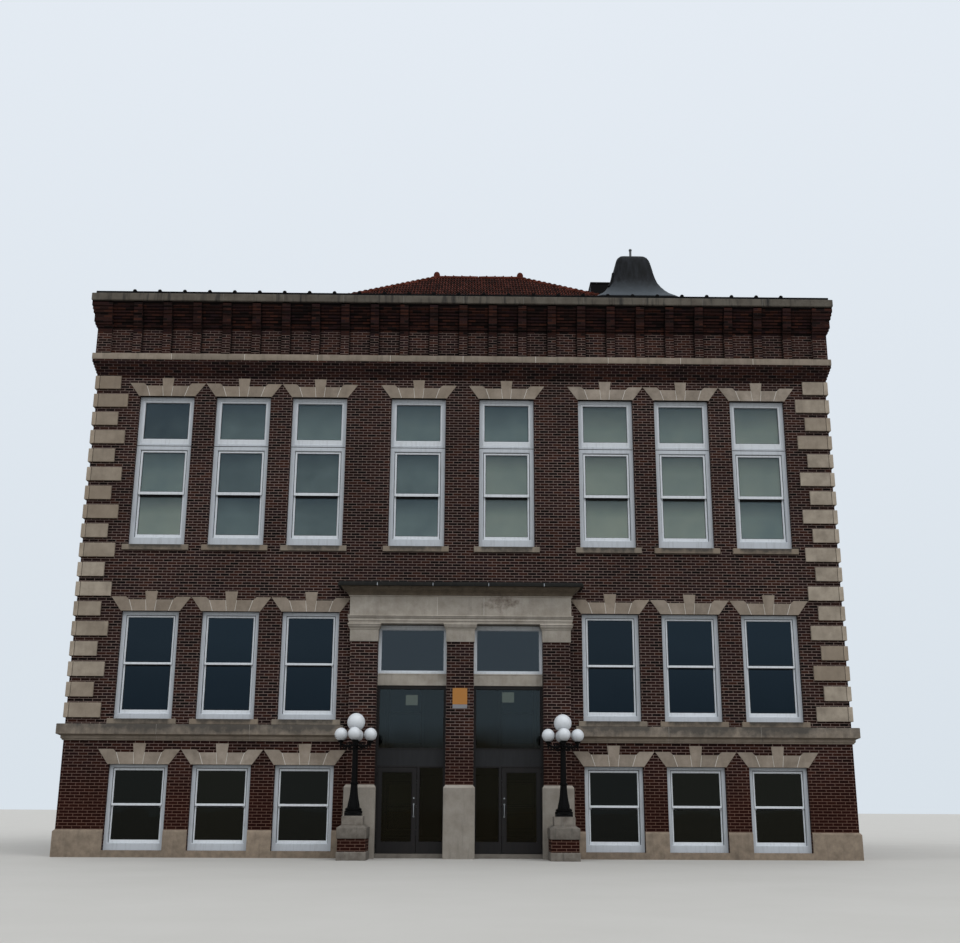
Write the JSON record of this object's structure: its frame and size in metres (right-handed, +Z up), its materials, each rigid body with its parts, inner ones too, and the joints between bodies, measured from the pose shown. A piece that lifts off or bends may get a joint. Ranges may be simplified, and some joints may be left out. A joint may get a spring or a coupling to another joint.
{
  "type": "town hall building, three storeys, brick with limestone trim, about 1911",
  "caption": "Three-storey brick town hall with limestone quoins and splayed lintels, a corbelled parapet before a hipped tile roof, globe lamps, and two hinged glass doors",
  "frame": {"origin": "At ground level, in the middle of the plan between the outer brick faces.", "axes": "+X to the right as seen from the street, +Y to the rear, +Z up. The entrance faces -Y."},
  "size_m": [18.832, 16.8399, 17.988],
  "materials": {
    "brick": "matte",
    "limestone": "matte",
    "dark_limestone": "matte",
    "floor_boards": "matte",
    "white_frame": "satin",
    "glass": "gloss",
    "shade_cloth": "matte",
    "dark_sheet": "satin",
    "bronze_aluminium": "satin",
    "black_iron": "satin",
    "opal_glass": "gloss",
    "clay_tile": "matte",
    "lead_sheet": "matte",
    "sign_paint": "satin"
  },
  "bodies": {
    "building": {"front_wall_left": "brick", "front_wall_right": "brick", "front_wall_over": "brick", "rear_wall": "brick", "left_wall": "brick", "right_wall": "brick", "ground_slab": "limestone", "main_floor": "floor_boards", "upper_floor": "floor_boards", "roof_deck": "floor_boards", "plinth": "limestone", "belt_course": "limestone", "quoins": "limestone", "window_lintels": "limestone", "window_sills": "limestone", "window_frames": "white_frame", "window_glass": "glass", "window_shades": "shade_cloth", "corbel_table": "brick", "stone_band": "limestone", "parapet": "brick", "parapet_pilasters": "brick", "coping": "dark_limestone", "coping_cap": "dark_sheet", "entrance_piers": "brick", "pier_bases": "limestone", "pier_capitals": "limestone", "entablature": "limestone", "entrance_flashing": "dark_sheet", "spandrel_panels": "limestone", "storefront_posts": "bronze_aluminium", "storefront_rails": "bronze_aluminium", "transom_frames": "white_frame", "entrance_glass": "glass", "lamp_pedestals": "limestone", "lamp_posts": "black_iron", "lamp_globes": "opal_glass", "hip_roof": "clay_tile", "bell_vent": "lead_sheet", "vent_curb": "lead_sheet", "roof_hatch": "dark_sheet", "sign_plate": "sign_paint", "ridge_finials": "clay_tile", "lobby_lights": "opal_glass"},
    "left_leaf": {"door_left": "bronze_aluminium", "door_left_glass": "glass"},
    "right_leaf": {"door_right": "bronze_aluminium", "door_right_glass": "glass"}
  },
  "joints": [
    {"name": "left_door_hinge", "type": "hinge", "parent": "building", "child": "left_leaf", "pos_m": [-1.892, -7.53, 0.11], "axis": [0, 0, -1], "range_deg": [0, 90]},
    {"name": "right_door_hinge", "type": "hinge", "parent": "building", "child": "right_leaf", "pos_m": [1.892, -7.53, 0.11], "axis": [0, 0, 1], "range_deg": [0, 90]}
  ]
}
